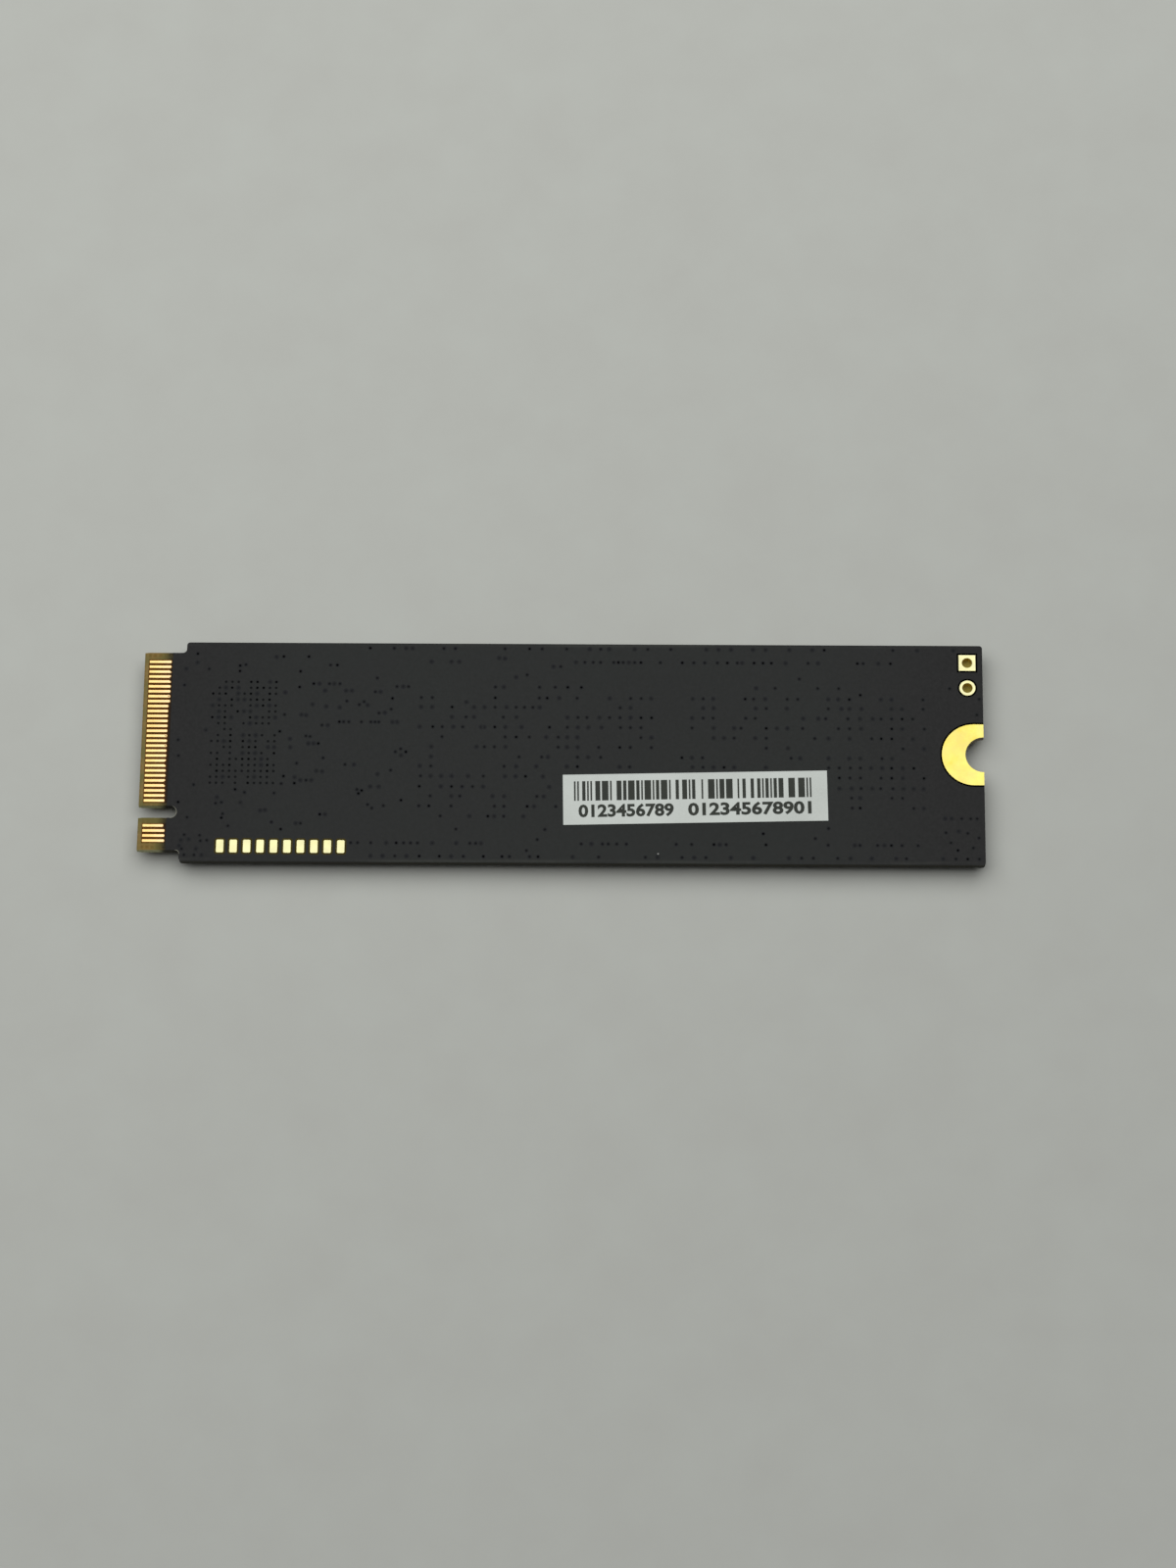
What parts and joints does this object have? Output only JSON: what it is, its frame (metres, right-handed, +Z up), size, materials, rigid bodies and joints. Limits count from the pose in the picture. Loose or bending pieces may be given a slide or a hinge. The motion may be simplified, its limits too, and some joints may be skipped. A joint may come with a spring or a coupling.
{
  "type": "gumstick solid state drive",
  "caption": "Flat card drive with a keyed edge-contact tongue, a half-moon screw land, a white barcode label, test pads and moulded packages beneath.",
  "frame": {"origin": "centre of the card's outline, on the surface that the card lies on, which its memory packages touch", "axes": "+X along the card from the keyed tongue to the screw end, +Z up out of the bare back face"},
  "size_m": [0.08, 0.022, 0.0021],
  "materials": {
    "laminate": "woven glass laminate with a sawn edge",
    "solder_mask": "matt charcoal solder mask",
    "contact_gold": "hard gold plate",
    "land_gold": "immersion gold plate",
    "label_paper": "satin label stock",
    "label_ink": "printed ink",
    "mould": "moulded epoxy",
    "substrate": "package laminate",
    "solder": "reflowed solder",
    "ceramic": "fired ceramic",
    "resistor": "glazed resistor top",
    "ferrite": "pressed iron powder",
    "lid_metal": "nickel plate"
  },
  "bodies": {
    "root": {"board_laminate": "laminate", "bulk_capacitor_bodies": "ceramic", "bulk_capacitor_terminals": "solder", "contact_fingers_back": "contact_gold", "contact_fingers_front": "contact_gold", "controller_balls": "solder", "controller_mould": "mould", "controller_substrate": "substrate", "coupling_capacitor_bodies": "ceramic", "coupling_capacitor_terminals": "solder", "crystal_base": "ceramic", "crystal_lid": "lid_metal", "crystal_pads": "solder", "decoupling_capacitor_bodies": "ceramic", "decoupling_capacitor_terminals": "solder", "header_land_round": "land_gold", "header_land_square": "land_gold", "inductor_bodies": "ferrite", "inductor_terminals": "solder", "label_bars": "label_ink", "label_paper": "label_paper", "load_switch_body": "mould", "load_switch_leads": "solder", "memory_1_balls": "solder", "memory_1_mould": "mould", "memory_1_substrate": "substrate", "memory_2_balls": "solder", "memory_2_mould": "mould", "memory_2_substrate": "substrate", "memory_3_balls": "solder", "memory_3_mould": "mould", "memory_3_substrate": "substrate", "memory_4_balls": "solder", "memory_4_mould": "mould", "memory_4_substrate": "substrate", "memory_capacitor_bodies": "ceramic", "memory_capacitor_terminals": "solder", "power_converter_body": "mould", "power_converter_lands": "solder", "resistor_bodies": "resistor", "resistor_terminals": "solder", "screw_land": "land_gold", "solder_mask_back": "solder_mask", "solder_mask_front": "solder_mask", "test_pads": "land_gold"}
  },
  "joints": []
}
